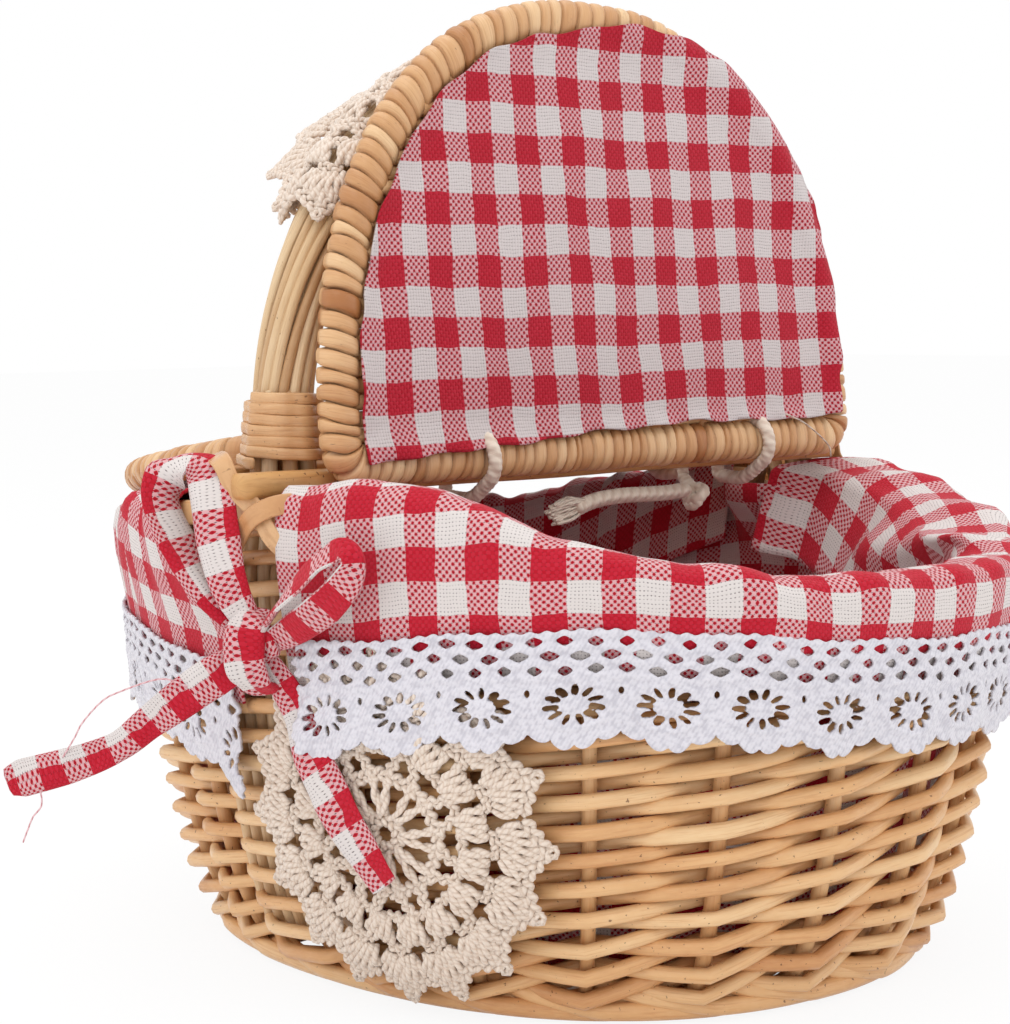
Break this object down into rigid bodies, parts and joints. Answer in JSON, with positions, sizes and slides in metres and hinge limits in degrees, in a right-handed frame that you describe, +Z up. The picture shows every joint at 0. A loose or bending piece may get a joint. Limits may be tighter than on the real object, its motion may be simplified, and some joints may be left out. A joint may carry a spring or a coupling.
{
  "type": "picnic basket",
  "caption": "Small oval willow picnic basket with a fixed arched handle, two hinged half lids, a gingham lining turned out over the rim, lace trim, bows and crochet doilies.",
  "frame": {"origin": "centre of the base, on the surface that the basket stands on", "axes": "+X along the cross rods and across under the handle arch, away from the handle leg with the loose bow end; +Y towards the lid that is stored closed; +Z up"},
  "size_m": [0.3068, 0.2945, 0.2722],
  "materials": {
    "willow_weave": "peeled willow, satin, visible grain",
    "willow_rod": "peeled willow, satin",
    "cane_lashing": "split cane, satin",
    "lid_rim_cane": "split cane winding, satin",
    "lid_weave": "woven peeled willow, satin",
    "lining_gingham": "woven cotton gingham, matt",
    "lid_gingham": "woven cotton gingham, matt",
    "bow_gingham": "woven cotton gingham, matt",
    "lace_cotton": "white cotton lace, matt",
    "doily_cotton": "ecru cotton crochet, matt",
    "cotton_cord": "off-white braided cotton, matt"
  },
  "bodies": {
    "root": {"foot_border": "willow_weave", "base_mat": "willow_weave", "side_weave": "willow_weave", "rim_band": "willow_rod", "stake_01": "willow_weave", "stake_02": "willow_weave", "stake_03": "willow_weave", "stake_04": "willow_weave", "stake_05": "willow_weave", "stake_06": "willow_weave", "stake_07": "willow_weave", "stake_08": "willow_weave", "stake_09": "willow_weave", "stake_10": "willow_weave", "stake_11": "willow_weave", "stake_12": "willow_weave", "stake_13": "willow_weave", "stake_14": "willow_weave", "stake_15": "willow_weave", "stake_16": "willow_weave", "stake_17": "willow_weave", "stake_18": "willow_weave", "stake_19": "willow_weave", "stake_20": "willow_weave", "handle_rod_1": "willow_rod", "handle_rod_2": "willow_rod", "handle_rod_3": "willow_rod", "handle_rod_4": "willow_rod", "handle_rod_5": "willow_rod", "handle_rod_6": "willow_rod", "handle_rod_7": "willow_rod", "handle_rod_8": "willow_rod", "handle_lashing_near": "cane_lashing", "handle_lashing_far": "cane_lashing", "cross_rod_front": "willow_rod", "cross_rod_rear": "willow_rod", "cross_lashing_near": "cane_lashing", "cross_lashing_far": "cane_lashing", "lining_bag": "lining_gingham", "collar_front": "lining_gingham", "collar_rear": "lining_gingham", "lace_front": "lace_cotton", "lace_rear": "lace_cotton", "bow_near": "bow_gingham", "bow_far": "bow_gingham", "doily_wall": "doily_cotton", "doily_handle": "doily_cotton", "hinge_cord_front_near": "cotton_cord", "hinge_cord_front_far": "cotton_cord", "hinge_cord_rear_near": "cotton_cord", "hinge_cord_rear_far": "cotton_cord", "cord_knot": "cotton_cord", "cord_tail": "cotton_cord"},
    "front_lid": {"front_lid_rim": "lid_rim_cane", "front_lid_panel": "lid_weave", "front_lid_cloth": "lid_gingham"},
    "rear_lid": {"rear_lid_rim": "lid_rim_cane", "rear_lid_panel": "lid_weave", "rear_lid_cloth": "lid_gingham"}
  },
  "joints": [
    {"name": "front_lid_hinge", "type": "hinge", "parent": "root", "child": "front_lid", "pos_m": [0, -0.023, 0.1425], "axis": [1, 0, 0], "range_deg": [0, 103.3]},
    {"name": "rear_lid_hinge", "type": "hinge", "parent": "root", "child": "rear_lid", "pos_m": [0, 0.023, 0.1455], "axis": [1, 0, 0], "range_deg": [0, 103.3]}
  ]
}
